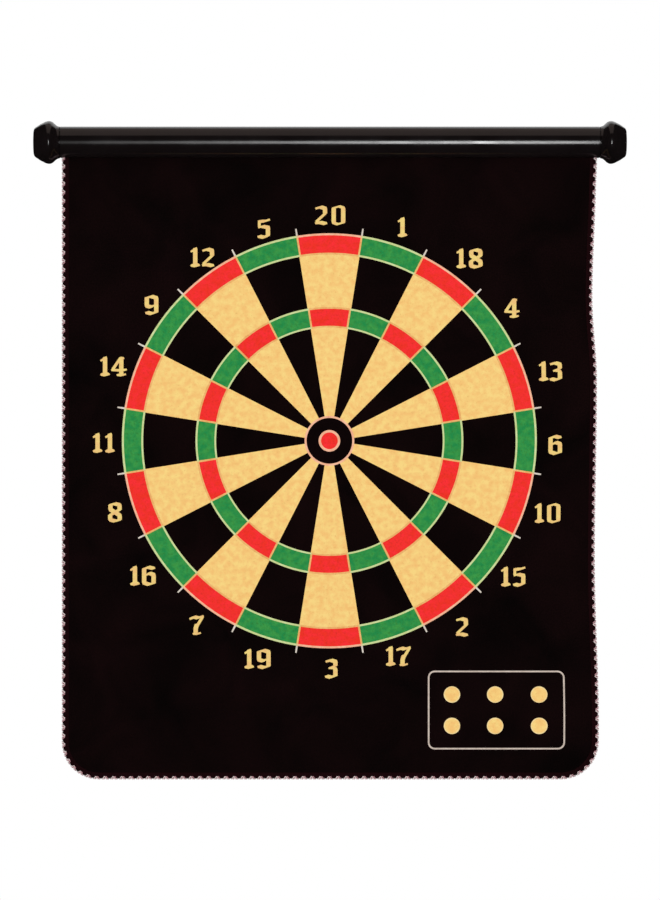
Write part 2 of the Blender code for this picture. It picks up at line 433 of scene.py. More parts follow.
# Down from the rail's axis, then how far the right side strays outwards, in millimetres
SIDE_CURL = ((20, -0.6), (108, -3.2), (166, 0.0), (290, -1.5), (405, 1.3), (441, 0.8))
SIDE_CURL_TOP, SIDE_CURL_FADE = 0.012, 0.020  # below the axis, and over what drop it sets in
FACE_WAVE = 0.0003  # how far the face wavers to the front and back
FACE_WAVE_TOP, FACE_WAVE_FADE = 0.030, 0.080
FACE_WAVE_ACROSS = (31, 0.6)  # radians to the metre, then the phase
FACE_WAVE_DOWN = (19, 0.4)

joints = frame["joints"]
hinges = [joint["pos_m"][2] for joint in joints]
mat_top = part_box("front_flock_header")[1].z
edging_low, edging_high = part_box("edging_bottom")
mat_half_width, mat_bottom = edging_high.x, edging_low.z
laminate_inset = mat_half_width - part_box("front_flock_1")[1].x
seams = [(above + below) / 2 for above, below in zip(hinges, hinges[1:])]
strip_spans = list(zip([mat_top] + seams, seams + [mat_bottom]))
bends = [(hinge + BEND_REACH, hinge - BEND_REACH) for hinge in hinges]
bends[0] = (-rail_radius - FIRST_BEND_START, bends[0][1])

levels = list(seams)
for start, end in bends:
    levels += [start + (end - start) * i / BEND_STEPS for i in range(BEND_STEPS + 1)]
for (_, end), seam, (start, _) in zip(bends, seams, bends[1:]):
    levels += [(end + seam) / 2, (start + seam) / 2]
levels += [bends[-1][1] - row for row in FOOT_ROWS]
half_columns = int(mat_half_width / COLUMN_PITCH)
columns = [COLUMN_PITCH * i for i in range(-half_columns, half_columns + 1)]


def eased(share):
    """A share from 0 to 1, slow at both ends."""
    share = min(max(share, 0.0), 1.0)
    return share * share * (3 - 2 * share)


def side_curl(drop):
    """How far the right side strays outwards at this drop, both in millimetres."""
    for (above, first), (below, second) in zip(SIDE_CURL, SIDE_CURL[1:]):
        if drop <= below:
            return first + (second - first) * eased((drop - above) / (below - above))
    return SIDE_CURL[-1][1]


def let_hang(obj):
    """Moves each vertex from the flat layout to where the hanging mat holds it."""
    for vertex in obj.data.vertices:
        x, y, z = vertex.co
        hung = eased((-z - FACE_WAVE_TOP) / FACE_WAVE_FADE)
        out = eased((x - SIDE_CURL_START) / (mat_half_width - SIDE_CURL_START))
        across, across_phase = FACE_WAVE_ACROSS
        down, down_phase = FACE_WAVE_DOWN
        wave = math.sin(x * across + across_phase) * math.cos(z * down + down_phase)
        free = eased((-z - SIDE_CURL_TOP) / SIDE_CURL_FADE)
        vertex.co = (
            x + out * side_curl(-z * 1000) / 1000 * free,
            y + FACE_WAVE * wave * hung,
            z,
        )
    obj.data.update()


def lay_out(name, inset, depth, material):
    """A flat sheet of the mat's cut shape, facing forwards, its bottom corners rounded."""
    bottom = mat_bottom + inset
    bpy.ops.object.select_all(action="DESELECT")
    bpy.ops.mesh.primitive_plane_add(size=1, rotation=(math.pi / 2, 0, 0))
    sheet = bpy.context.object
    sheet.scale = (2 * (mat_half_width - inset), mat_top - bottom, 1)
    sheet.location = (0, depth, (mat_top + bottom) / 2)
    settle(sheet, name, material)
    start_edit(sheet)
    select_where(sheet, "verts", lambda v: v.co.z < bottom + NEAR_END)
    bpy.ops.mesh.bevel(
        offset=CORNER_RADIUS - inset, segments=CORNER_STEPS, affect="VERTICES"
    )
    end_edit()
    return sheet


def cut_to_grid(obj):
    """Scores a flat layer along the shared grid, so that every layer bends at the same lines."""
    start_edit(obj)
    for x in columns:
        bpy.ops.mesh.select_all(action="SELECT")
        bpy.ops.mesh.bisect(plane_co=(x, 0, 0), plane_no=(1, 0, 0))
    for z in levels:
        bpy.ops.mesh.select_all(action="SELECT")
        bpy.ops.mesh.bisect(plane_co=(0, 0, z), plane_no=(0, 0, 1))
    end_edit()


def chart(obj):
    """Writes each corner's place across and down the mat, in metres, as the UV map "flat"."""
    flat = obj.data.uv_layers.new(name="flat")
    for corner in obj.data.loops:
        flat.data[corner.index].uv = obj.data.vertices[corner.vertex_index].co.xz


def part_strips(whole):
    """Parts a layer at the seams. Returns a strip or None for each span, from the top."""
    strips = []
    for _, bottom in strip_spans[:-1]:
        start_edit(whole, "FACE")
        strip = None
        if select_where(whole, "faces", lambda f: f.calc_center_median().z > bottom):
            bpy.ops.mesh.separate(type="SELECTED")
            strip = next(o for o in bpy.context.selected_objects if o != whole)
        end_edit()
        strips.append(strip)
    return strips + [whole]


def bend_with_mat(obj):
    """Puts a finished strip's place into its mesh."""
    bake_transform(obj)


def nodes_of(layer, index):
    """The frame's nodes that strip number index of a layer stands for."""
    return [f"{layer}_{index + 1}"] + ([f"{layer}_header"] if index == 0 else [])


# ---- Magnetic core ----
# The sheet of iron-filled rubber, 0.9 mm thick, that the darts' magnets hold on to. It is
# rolled and cut, so it is matt and dark brown-grey with a fine grain, and shows at cut edges.

magnetic_rubber, shader = new_finish("calendered_ferrite_rubber", 0.78, 1.52)
spread = add_node(magnetic_rubber, "ShaderNodeUVMap", uv_map="flat")
filler = add_node(
    magnetic_rubber,
    "ShaderNodeTexNoise",
    {"Vector": spread.outputs[0], "Scale": 1600.0, "Detail": 4.0},
)
tone = add_node(
    magnetic_rubber,
    "ShaderNodeMix",
    {0: filler.outputs["Fac"], 6: linear("#2A2524"), 7: linear("#3D3735")},
    data_type="RGBA",
)
grain = add_node(
    magnetic_rubber,
    "ShaderNodeBump",
    {"Height": filler.outputs["Fac"], "Strength": 0.3, "Distance": 0.0001},
)
feed(magnetic_rubber, shader, Base_Color=tone.outputs[2], Normal=grain.outputs[0])

core_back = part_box("magnetic_core_1")[1].y
core = lay_out("rubber_sheet", laminate_inset, core_back, magnetic_rubber)
cut_to_grid(core)
chart(core)
let_hang(core)
for index, strip in enumerate(part_strips(core)):
    apply_modifier(strip, "SOLIDIFY", thickness=2 * core_back, offset=1)
    strip.name = strip.data.name = f"rubber_sheet_{index + 1}"
    bend_with_mat(strip)
    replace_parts(strip, *nodes_of("magnetic_core", index))


# ---- Flocked cloths ----
# Thin cotton glued to each side of the core and flocked with short black nylon fibre. The
# pile is matt and drinks the light, with a faint warm cast where it has been brushed.


def flocked(name, dark, light):
    """Nylon flock: a fine nap, and soft patches where the pile has been brushed over."""
    material, shader = new_finish(name, 0.92, 1.45)
    shader.inputs["Specular IOR Level"].default_value = 0.06
    shader.inputs["Sheen Weight"].default_value = 0.015
    shader.inputs["Sheen Roughness"].default_value = 0.5
    spread = add_node(material, "ShaderNodeUVMap", uv_map="flat")
    # The pile is about 0.3 mm from tuft to tuft; its clumps are drawn near 1 mm to show.
    nap = add_node(
        material,
        "ShaderNodeTexNoise",
        {"Vector": spread.outputs[0], "Scale": 900.0, "Detail": 5.0, "Roughness": 0.7},
    )
    brushed = add_node(
        material,
        "ShaderNodeTexNoise",
        {"Vector": spread.outputs[0], "Scale": 22.0, "Detail": 3.0, "Distortion": 0.6},
    )
    both = add_node(
        material,
        "ShaderNodeMath",
        {0: nap.outputs["Fac"], 1: brushed.outputs["Fac"]},
        operation="MULTIPLY",
    )
    shade = add_node(
        material,
        "ShaderNodeMapRange",
        {"Value": both.outputs[0], "From Min": 0.12, "From Max": 0.42},
    )
    tone = add_node(
        material,
        "ShaderNodeMix",
        {0: shade.outputs[0], 6: linear(dark), 7: linear(light)},
        data_type="RGBA",
    )
    pile = add_node(
        material,
        "ShaderNodeBump",
        {"Height": nap.outputs["Fac"], "Strength": 0.45, "Distance": 0.0003},
    )
    feed(material, shader, Base_Color=tone.outputs[2], Normal=pile.outputs[0])
    return material


face_flock = flocked("black_nylon_flock_face", "#050101", "#140506")
back_flock = flocked("black_nylon_flock_back", "#060505", "#171314")
CLOTH_THICKNESS = 0.00065
flock_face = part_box("front_flock_1")[0].y

for layer, name, depth, material in (
    ("front_flock", "face_cloth", flock_face, face_flock),
    ("back_flock", "back_cloth", -flock_face, back_flock),
):
    cloth = lay_out(name, laminate_inset, depth, material)
    cut_to_grid(cloth)
    chart(cloth)
    let_hang(cloth)
    if layer == "back_flock":
        start_edit(cloth)
        bpy.ops.mesh.select_all(action="SELECT")
        bpy.ops.mesh.flip_normals()
        end_edit()
    for index, strip in enumerate(part_strips(cloth)):
        apply_modifier(strip, "SOLIDIFY", thickness=CLOTH_THICKNESS, offset=-1)
        strip.name = strip.data.name = f"{name}_{index + 1}"
        smooth(strip, 50)
        bend_with_mat(strip)
        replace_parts(strip, *nodes_of(layer, index))


# ---- Printed target ----
# Inks screened over the face cloth and flocked while wet, so every field is a soft raised
# layer a tenth of a millimetre proud. Black fields are the bare cloth between them.

PRINT_RISE = 0.0001  # the print's face above the cloth
PRINT_THICKNESS = 0.00016  # so that it sinks a little way into the pile
TARGET_X, TARGET_Z = -0.0004, -0.2075
TARGET_STEPS = 240
# Where one field or line gives way to the next, out from the bull's middle, in millimetres
TARGET_RINGS = (5.8, 7.5, 15.9, 17.3, 78.8, 80.0, 91.8, 93.1, 129.5, 130.8, 142.9, 144.3)
WIRE_HALF = 0.00062  # half the width of a line between sectors
TICK_END = 0.1492  # where a line's tail ends, outside the target
TICK_TAPER = 0.8
SECTOR = 18.0


def flock_ink(name, main, fleck, deep, fleck_from, fleck_to):
    """Flocked ink: fine dark flecks where the base shows, and soft blotches 4 mm across."""
    material, shader = new_finish(name, 0.86, 1.47)
    shader.inputs["Specular IOR Level"].default_value = 0.3
    spread = add_node(material, "ShaderNodeUVMap", uv_map="flat")
    # Flecks are tufts of 0.5 mm and less; the larger clumps of 1.5 mm are what shows.
    tufts = add_node(
        material,
        "ShaderNodeTexNoise",
        {"Vector": spread.outputs[0], "Scale": 620.0, "Detail": 5.0, "Roughness": 0.72},
    )
    drift = add_node(
        material, "ShaderNodeTexNoise", {"Vector": spread.outputs[0], "Scale": 230.0, "Detail": 3.0}
    )
    blotches = add_node(
        material,
        "ShaderNodeMapRange",
        {"Value": drift.outputs["Fac"], "From Min": 0.36, "From Max": 0.64},
    )
    flecked = add_node(
        material,
        "ShaderNodeMapRange",
        {"Value": tufts.outputs["Fac"], "From Min": fleck_from, "From Max": fleck_to},
    )
    base = add_node(
        material,
        "ShaderNodeMix",
        {0: blotches.outputs[0], 6: linear(main), 7: linear(deep)},
        data_type="RGBA",
    )
    tone = add_node(
        material,
        "ShaderNodeMix",
        {0: flecked.outputs[0], 6: base.outputs[2], 7: linear(fleck)},
        data_type="RGBA",
    )
    pile = add_node(
        material,
        "ShaderNodeBump",
        {"Height": tufts.outputs["Fac"], "Strength": 0.35, "Distance": 0.0003},
    )
    feed(material, shader, Base_Color=tone.outputs[2], Normal=pile.outputs[0])
    return material


RED, GREEN, GOLD, PALE, BLUSH, ORANGE, WHITE, LETTER, GREY, CREAM = range(10)
inks = (
    flock_ink("red_flock_ink", "#FF2A30", "#D8261C", "#F42C1C", 0.50, 0.72),
    flock_ink("green_flock_ink", "#168C46", "#2E7A2C", "#389C46", 0.50, 0.72),
    flock_ink("gold_flock_ink", "#FDDA85", "#DDA556", "#F9C676", 0.56, 0.80),
    flock_ink("pale_green_gold_line_ink", "#D3E2A4", "#B9C27A", "#CBD68F", 0.52, 0.75),
    flock_ink("blush_line_ink", "#FBC3A2", "#E59A78", "#F4B08C", 0.52, 0.75),
    flock_ink("orange_gold_line_ink", "#F3C078", "#D98C45", "#ECAE66", 0.52, 0.75),
    flock_ink("white_line_ink", "#E6DED2", "#B9AC9C", "#D6CBBE", 0.52, 0.75),
    flock_ink("letter_gold_ink", "#F2D880", "#D6A654", "#F0C27C", 0.55, 0.80),
    flock_ink("panel_grey_ink", "#D5C6BA", "#A99A90", "#C4B4A8", 0.52, 0.78),
    flock_ink("cream_rim_ink", "#FBE3A8", "#E0B36A", "#F4D490", 0.52, 0.78),
)
print_depth = flock_face - PRINT_RISE


def polar(place):
    """Distance from the bull's middle, and the turn clockwise from the top, in degrees."""
    x, z = place.x - TARGET_X, place.z - TARGET_Z
    return math.hypot(x, z), math.degrees(math.atan2(x, z)) % 360


def off_wire(turn):
    """The turn from the nearest line between sectors, in degrees."""
    return (turn + SECTOR) % SECTOR - SECTOR / 2


def ink_at(radius, turn):
    """Which ink a field of the target is printed in, or None where the cloth is bare."""
    millimetres = radius * 1000
    zone = sum(millimetres > ring for ring in TARGET_RINGS)
    red_sector = int((turn + SECTOR / 2) % 360 // SECTOR) % 2 == 0
    if zone <= 3:
        return (RED, BLUSH, None, BLUSH)[zone]
    on_wire = abs(radius * math.sin(math.radians(off_wire(turn)))) < WIRE_HALF
    if zone in (6, 10):  # treble and double
        return ORANGE if on_wire else RED if red_sector else GREEN
    if zone in (4, 8):
        return GOLD if on_wire or red_sector else None
    if not red_sector:
        return PALE
    return BLUSH if zone == 11 else ORANGE


bpy.ops.object.select_all(action="DESELECT")
bpy.ops.mesh.primitive_circle_add(
    vertices=TARGET_STEPS,
    radius=TARGET_RINGS[0] / 1000,
    fill_type="TRIFAN",
    location=(TARGET_X, print_depth, TARGET_Z),
    rotation=(math.pi / 2, 0, 0),
)
target = settle(bpy.context.object, "target_print", *inks)
start_edit(target, "EDGE")
rim = TARGET_RINGS[0] / 1000
select_where(
    target, "edges", lambda e: all(abs(polar(v.co)[0] - rim) < 1e-5 for v in e.verts)
)
for inner, outer in zip(TARGET_RINGS, TARGET_RINGS[1:]):
    bpy.ops.mesh.extrude_region_move()
    bpy.ops.transform.resize(
        value=(outer / inner, 1, outer / inner), center_override=(TARGET_X, print_depth, TARGET_Z)
    )
mesh = bmesh.from_edit_mesh(target.data)
one_step = 360 / TARGET_STEPS
sectors_start = TARGET_RINGS[2] / 1000 - 0.0001
for vertex in mesh.verts:  # the two rows beside each line between sectors come in to its edges
    radius, turn = polar(vertex.co)
    if radius > sectors_start and abs(abs(off_wire(turn)) - one_step) < 0.01:
        edge = math.degrees(math.asin(WIRE_HALF / radius))
        turn += math.copysign(edge, off_wire(turn)) - off_wire(turn)
        vertex.co.x = TARGET_X + radius * math.sin(math.radians(turn))
        vertex.co.z = TARGET_Z + radius * math.cos(math.radians(turn))
bmesh.update_edit_mesh(target.data)

wires = [SECTOR * (i + 0.5) for i in range(20)]
for turn in wires:  # each line's tail is drawn out past the double, a little narrower
    out = Vector((math.sin(math.radians(turn)), 0, math.cos(math.radians(turn))))
    end = Vector((TARGET_X, print_depth, TARGET_Z)) + out * (TARGET_RINGS[-1] / 1000)
    select_where(
        target,
        "edges",
        lambda e: all((v.co - end).length < WIRE_HALF * 1.1 for v in e.verts),
    )
    reach = TICK_END - TARGET_RINGS[-1] / 1000
    bpy.ops.mesh.extrude_region_move(TRANSFORM_OT_translate={"value": out * reach})
    bpy.ops.transform.resize(value=(TICK_TAPER,) * 3, center_override=end + out * reach)

mesh = bmesh.from_edit_mesh(target.data)
bare = []
for face in mesh.faces:
    radius, turn = polar(face.calc_center_median())
    ink = WHITE if radius > TARGET_RINGS[-1] / 1000 else ink_at(radius, turn)
    if ink is None:
        bare.append(face)
    else:
        face.material_index = ink
bmesh.update_edit_mesh(target.data)
places = {tuple(face.calc_center_median()) for face in bare}
bpy.ops.mesh.select_mode(type="FACE")
select_where(target, "faces", lambda f: tuple(f.calc_center_median()) in places)
bpy.ops.mesh.delete(type="FACE")
end_edit()


# ---- Numbers ----
# Twenty numbers in a broad-pen blackletter, 14 mm high, in the same gold. The pen is a flat
# nib held at 18 degrees, so that stems are thick and strokes along its edge are thin.

PEN_WIDTH = 0.0027
PEN_THICKNESS = 0.0014
PEN_TILT = math.radians(18)
FINE = 0.62  # the size of the pen for the lighter strokes
# Each figure: its width, the space before it as a second figure, then its strokes, each a
# pen size and the points that the pen's middle passes, in millimetres
FIGURES = {
    "0": (9.6, 2.6, (
        (1, ((-3.3, 4.6), (-3.3, -4.7))),
        (1, ((3.3, 4.7), (3.3, -4.6))),
        (FINE, ((-3.6, 5.0), (0.6, 6.2), (3.6, 5.2))),
        (FINE, ((-3.6, -5.2), (-0.6, -6.2), (3.6, -5.0))),
    )),
    "1": (6.4, 2.2, (
        (1, ((0.4, 6.0), (0.4, -4.8))),
        (FINE, ((-2.0, 4.2), (0.2, 5.6))),
        (FINE, ((-2.0, -5.6), (0.4, -6.1), (2.8, -5.5))),
        (FINE, ((-1.6, -5.3), (0.4, -4.4), (2.4, -5.3))),
    )),
    "2": (9.4, 1.4, (
        (1, ((-2.6, 5.0), (-0.2, 5.7))),
        (1, ((-0.2, 5.7), (2.7, 4.8), (2.8, 1.6))),
        (FINE, ((2.8, 1.2), (-3.0, -4.2))),
        (1, ((-2.8, -5.2), (-0.4, -5.0), (2.9, -5.8))),
    )),
    "3": (9.4, 0.9, (
        (1, ((-2.6, 5.2), (0, 5.8), (2.9, 4.9), (2.9, 2.4))),
        (FINE, ((2.9, 2.0), (-1.0, 0.4))),
        (1, ((2.9, -0.6), (2.9, -4.6))),
        (FINE, ((-0.6, 0.6), (3.0, 0.2))),
        (1, ((2.8, -4.8), (-0.2, -6.0), (-3.0, -5.3))),
    )),
    "4": (11.4, 1.2, (
        (1, ((1.6, 5.4), (1.6, -5.0))),
        (FINE, ((1.2, 6.0), (-4.2, -1.8))),
        (FINE, ((-4.6, -2.4), (0.0, -2.7), (4.6, -2.3))),
        (FINE, ((1.4, 5.8), (2.8, 5.6))),
        (FINE, ((-0.8, -5.8), (1.6, -6.1), (4.0, -5.6))),
    )),
    "5": (9.4, 1.9, (
        (FINE, ((-3.1, 5.3), (-3.1, 1.0), (-0.6, 1.7))),
        (1, ((-2.2, 5.2), (0.4, 5.2), (3.0, 6.0))),
        (1, ((-0.6, 1.6), (2.9, 0.9), (2.9, -4.2))),
        (1, ((2.8, -4.6), (0, -6.0), (-3.0, -5.3))),
    )),
    "6": (10.0, 1.9, (
        (1, ((-3.3, 4.4), (-3.3, -4.6))),
        (1, ((-3.2, 4.8), (-0.2, 6.0), (3.0, 5.2))),
        (1, ((-3.2, -4.9), (0, -6.0), (3.2, -5.0))),
        (1, ((3.3, -4.8), (3.3, 0.4))),
        (1, ((3.2, 0.8), (0.6, 1.8))),
        (FINE, ((0.6, 1.6), (-2.6, 0.4))),
    )),
    "7": (10.2, 0.9, (
        (1, ((-3.6, 4.6), (-1.6, 5.6), (1.0, 5.0), (3.7, 5.9))),
        (FINE, ((4.1, 5.6), (0.2, -1.0))),
        (1, ((0.3, 0.4), (-0.6, -2.4), (-0.6, -5.2))),
        (FINE, ((-1.8, -5.9), (0.6, -6.1), (2.2, -5.6))),
    )),
    "8": (10.2, 2.2, (
        (1, ((-3.1, 4.8), (-3.1, 2.2))),
        (1, ((3.2, 4.8), (3.2, 2.2))),
        (1, ((-3.3, -2.2), (-3.3, -4.8))),
        (1, ((3.3, -2.2), (3.3, -4.8))),
        (1, ((-2.8, 5.3), (0, 6.0), (2.8, 5.3))),
        (1, ((-2.8, -5.3), (0, -6.0), (2.8, -5.3))),
        (1, ((-2.9, 1.8), (2.9, -1.8))),
        (1, ((2.9, 1.8), (-2.9, -1.8))),
    )),
    "9": (10.0, 2.3, (
        (1, ((3.3, 4.6), (3.3, -4.4))),
        (1, ((3.2, -4.8), (0, -6.0), (-3.0, -5.2))),
        (1, ((3.2, 5.0), (0, 6.0), (-3.2, 5.0))),
        (1, ((-3.3, 4.8), (-3.3, -0.2))),
        (1, ((-3.2, -0.6), (-0.6, -1.4))),
        (FINE, ((-0.6, -1.2), (2.8, 0.0))),
    )),
}
# Each number: out from the bull's middle in millimetres, then its turn from the top
NUMBERS = (
    ("20", 156.8, 0.1), ("1", 156.8, 18.75), ("18", 159.9, 37.55), ("4", 157.0, 54.0),
    ("13", 161.2, 72.55), ("6", 157.3, 91.05), ("10", 160.3, 108.3), ("15", 159.0, 126.45),
    ("2", 158.8, 144.55), ("17", 157.2, 162.3), ("3", 158.4, 179.55), ("19", 159.7, 198.25),
    ("7", 157.95, 215.8), ("16", 160.1, 234.1), ("8", 157.2, 251.55), ("11", 157.3, 269.45),
    ("14", 158.75, 289.0), ("9", 155.6, 307.35), ("12", 155.1, 325.3), ("5", 154.35, 342.8),
)


def pen_at(x, z, size):
    """The pen's edge as a thin block, set down at a point."""
    bpy.ops.object.select_all(action="DESELECT")
    bpy.ops.mesh.primitive_cube_add(size=1)
    pen = bpy.context.object
    pen.scale = (PEN_WIDTH * size, 0.002, PEN_THICKNESS * size**0.3)
    pen.rotation_euler.y = -PEN_TILT
    pen.location = (x / 1000, 0, z / 1000)
    return settle(pen, "pen")


def join(objects):
    """Joins objects into the first of them."""
    pick(objects[0])
    for obj in objects:
        obj.select_set(True)
    bpy.ops.object.join()
    return objects[0]


def pen_figure(name, strokes):
    """Sweeps the pen along each stroke, and merges the sweeps into one flat figure."""
    sweeps = []
    for size, points in strokes:
        for one, two in zip(points, points[1:]):
            sweep = join([pen_at(*one, size), pen_at(*two, size)])
            start_edit(sweep)
            bpy.ops.mesh.select_all(action="SELECT")
            bpy.ops.mesh.convex_hull()
            end_edit()
            sweeps.append(sweep)
    figure = join(sweeps)
    start_edit(figure, "FACE")
    bpy.ops.mesh.select_all(action="SELECT")
    bpy.ops.mesh.intersect_boolean(
        operation="UNION", use_self=True, threshold=1e-7, solver="EXACT"
    )
    select_where(figure, "faces", lambda f: f.normal.y > -0.9)
    bpy.ops.mesh.delete(type="FACE")
    bpy.ops.mesh.select_all(action="SELECT")
    bpy.ops.mesh.remove_doubles(threshold=2e-6)
    bpy.ops.mesh.dissolve_limited(angle_limit=math.radians(1))
    end_edit()
    for material in inks:
        figure.data.materials.append(material)
    for face in figure.data.polygons:
        face.material_index = LETTER
    figure.name = figure.data.name = name
    return figure


figures = {digit: pen_figure("figure_" + digit, row[2]) for digit, row in FIGURES.items()}
printed = [target]
for number, out, turn in NUMBERS:
    widths = [FIGURES[digit][0] for digit in number]
    gap = FIGURES[number[-1]][1] if len(number) == 2 else 0
    left = -(sum(widths) + gap) / 2
    for digit, width in zip(number, widths):
        pick(figures[digit])
        bpy.ops.object.duplicate()
        copy = bpy.context.object
        across = out * math.sin(math.radians(turn)) + left + width / 2
        up = out * math.cos(math.radians(turn))
        copy.location = (
            TARGET_X + across / 1000,
            print_depth + 0.001,
            TARGET_Z + up / 1000,
        )
        printed.append(settle(copy, "number_" + number))
        left += width + gap
for figure in figures.values():
    bpy.data.objects.remove(figure)


# ---- Dart panel ----
# A rounded frame near the bottom right corner, with six round marks, likely to park darts on.
# Each mark is the target's gold with a paler rim.

PANEL_CENTRE = (0.1153, -0.3947)
PANEL_SIZE = (0.0945, 0.0548)
PANEL_CORNER = 0.0048
PANEL_LINE = 0.0011
MARK_RADIUS = 0.0057
MARK_RIM = 0.0007
MARK_COLUMNS = (0.0848, 0.1148, 0.1450)
MARK_ROWS = (-0.3839, -0.4057)

bpy.ops.object.select_all(action="DESELECT")
bpy.ops.mesh.primitive_plane_add(size=1, rotation=(math.pi / 2, 0, 0))
outline = bpy.context.object
outline.scale = (*PANEL_SIZE, 1)
outline.location = (PANEL_CENTRE[0], print_depth, PANEL_CENTRE[1])
settle(outline, "panel_outline", *inks)
start_edit(outline)
bpy.ops.mesh.select_all(action="SELECT")
bpy.ops.mesh.bevel(offset=PANEL_CORNER, segments=6, affect="VERTICES")
bpy.ops.mesh.select_mode(type="FACE")
bpy.ops.mesh.select_all(action="SELECT")
bpy.ops.mesh.inset(thickness=PANEL_LINE)
bpy.ops.mesh.delete(type="FACE")
end_edit()
for face in outline.data.polygons:
    face.material_index = GREY
printed.append(outline)

for x in MARK_COLUMNS:
    for z in MARK_ROWS:
        bpy.ops.object.select_all(action="DESELECT")
        bpy.ops.mesh.primitive_circle_add(
            vertices=40,
            radius=MARK_RADIUS,
            fill_type="NGON",
            location=(x, print_depth, z),
            rotation=(math.pi / 2, 0, 0),
        )
        mark = settle(bpy.context.object, "mark", *inks)
        start_edit(mark, "FACE")
        bpy.ops.mesh.select_all(action="SELECT")
        bpy.ops.mesh.inset(thickness=MARK_RIM)
        end_edit()
        for face in mark.data.polygons:
            face.material_index = GOLD if len(face.vertices) > 4 else CREAM
        printed.append(mark)

prints = join(printed)
prints.name = prints.data.name = "target_print"
cut_to_grid(prints)
chart(prints)
let_hang(prints)
for index, strip in enumerate(part_strips(prints)):
    if strip is None or not strip.data.polygons:
        continue
    apply_modifier(strip, "SOLIDIFY", thickness=PRINT_THICKNESS, offset=-1)
    strip.name = strip.data.name = f"target_print_{index + 1}"
    smooth(strip, 50)
    bend_with_mat(strip)


# ---- Overlocked edging ----
# The laminate's cut edge is oversewn: a dense base of dark red thread folded over it, a slanted
# wrap every 1.5 mm, and two looper threads that weave along the outermost edge.

EDGE_REACH = 0.0040  # how far the stitching reaches in over each face
EDGE_OUT = 0.0003  # the stitching's fullness beyond the frame's edging: at the sides,
EDGE_DROP = 0.0012  # along the bottom,
EDGE_SHIFT = -0.0004  # and a little more of it on the left than on the right
EDGE_CORNER_STEPS = 16
BAND_RADIUS = 0.00135  # outside of the base, half its thickness through the mat
BAND_CELL = 0.0025
WRAP_PITCH = 0.0015
WRAP_RADIUS = 0.00022
WRAP_DEPTH = 0.00150
WRAP_DIP = 0.0006  # in from each end of a wrap to where it is pulled tight
WRAP_STAND = 0.0001  # how far a wrap's fold stands off the edge
# How far along the edge a wrap has come: at its start, pulled tight, where its fold begins
# and ends, pulled tight again, and at its end
WRAP_ALONG = (0, 0.0002, 0.0009, 0.0012, 0.0019, 0.0021)
FOLD_STEPS = 6
LOOPER_PITCH = 0.0060
LOOPER_RADIUS = 0.00030
LOOPER_DEPTH = 0.00145
LOOPER_STAND = 0.0006  # how far the loopers stand off the edge
LOOPER_STEPS = 14


def spun_thread(name, dark, light):
    """Polyester overlock thread: two plies twisted, with a painted sheen: its colour is lighter along
    the plies and darker between them.
    """
    material, shader = new_finish(name, 0.62, 1.58)
    shader.inputs["Specular IOR Level"].default_value = 0.03
    spread = add_node(material, "ShaderNodeUVMap", uv_map="flat")
    # The plies turn once in about 1.2 mm along the edge, unevenly.
    ply_bands_and_sheen = add_node(
        material,
        "ShaderNodeTexWave",
        {"Vector": spread.outputs[0], "Scale": 520.0, "Distortion": 3.0, "Detail": 2.0},
        bands_direction="DIAGONAL",
    )
    sheen_fade = add_node(
        material,
        "ShaderNodeTexNoise",
        {"Vector": spread.outputs[0], "Scale": 160.0, "Detail": 3.0},
    )
    # Painted sheen: where the ply bands and the fading patches are both high, the colour is lifted to
    # the lighter tone.
    shade = add_node(
        material,
        "ShaderNodeMath",
        {0: ply_bands_and_sheen.outputs["Fac"], 1: sheen_fade.outputs["Fac"]},
        operation="MULTIPLY",
    )
    tone = add_node(
        material,
        "ShaderNodeMix",
        {0: shade.outputs[0], 6: linear(dark), 7: linear(light)},
        data_type="RGBA",
    )
    twist = add_node(
        material,
        "ShaderNodeBump",
        {"Height": ply_bands_and_sheen.outputs["Fac"], "Strength": 0.5, "Distance": 0.0001},
    )
    feed(material, shader, Base_Color=tone.outputs[2], Normal=twist.outputs[0])
    return material


# Each thread's second colour is the painted sheen along its plies.
threads = (
    spun_thread("maroon_thread_base", "#170407", "#26070C"),
    spun_thread("maroon_thread_wrap", "#1C0508", "#300A12"),
    spun_thread("rose_looper_thread", "#B67F88", "#E6BDC2"),
    spun_thread("pale_looper_thread", "#E6D2D1", "#FBF1EF"),
)

# The line that the stitching follows, drawn flat: down the left side, along the bottom and
# up the right side. Inwards from it is to its left.
bpy.ops.object.select_all(action="DESELECT")
bpy.ops.mesh.primitive_plane_add(size=1)
edge_line = bpy.context.object
# The last wrap leans past the line's end, so the line stops one wrap short of the top.
edge_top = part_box("edging_left_header")[1].z - WRAP_PITCH
edge_foot = mat_bottom - EDGE_DROP
edge_line.scale = (2 * (mat_half_width + EDGE_OUT), edge_top - edge_foot, 1)
edge_line.location = (EDGE_SHIFT, (edge_top + edge_foot) / 2, 0)
settle(edge_line, "edge_line")
start_edit(edge_line)
select_where(edge_line, "verts", lambda v: v.co.y < mat_bottom + NEAR_END)
bpy.ops.mesh.bevel(offset=CORNER_RADIUS, segments=EDGE_CORNER_STEPS, affect="VERTICES")
bpy.ops.mesh.select_mode(type="EDGE")
select_where(edge_line, "edges", lambda e: all(v.co.y > edge_top - NEAR_END for v in e.verts))
bpy.ops.mesh.delete(type="EDGE")
end_edit()
pick(edge_line)
bpy.ops.object.convert(target="CURVE")
edge_line.data.dimensions = "2D"
if edge_line.data.splines[0].points[0].co.x > 0:
    bpy.ops.object.mode_set(mode="EDIT")
    bpy.ops.curve.select_all(action="SELECT")
    bpy.ops.curve.switch_direction()
    bpy.ops.object.mode_set(mode="OBJECT")


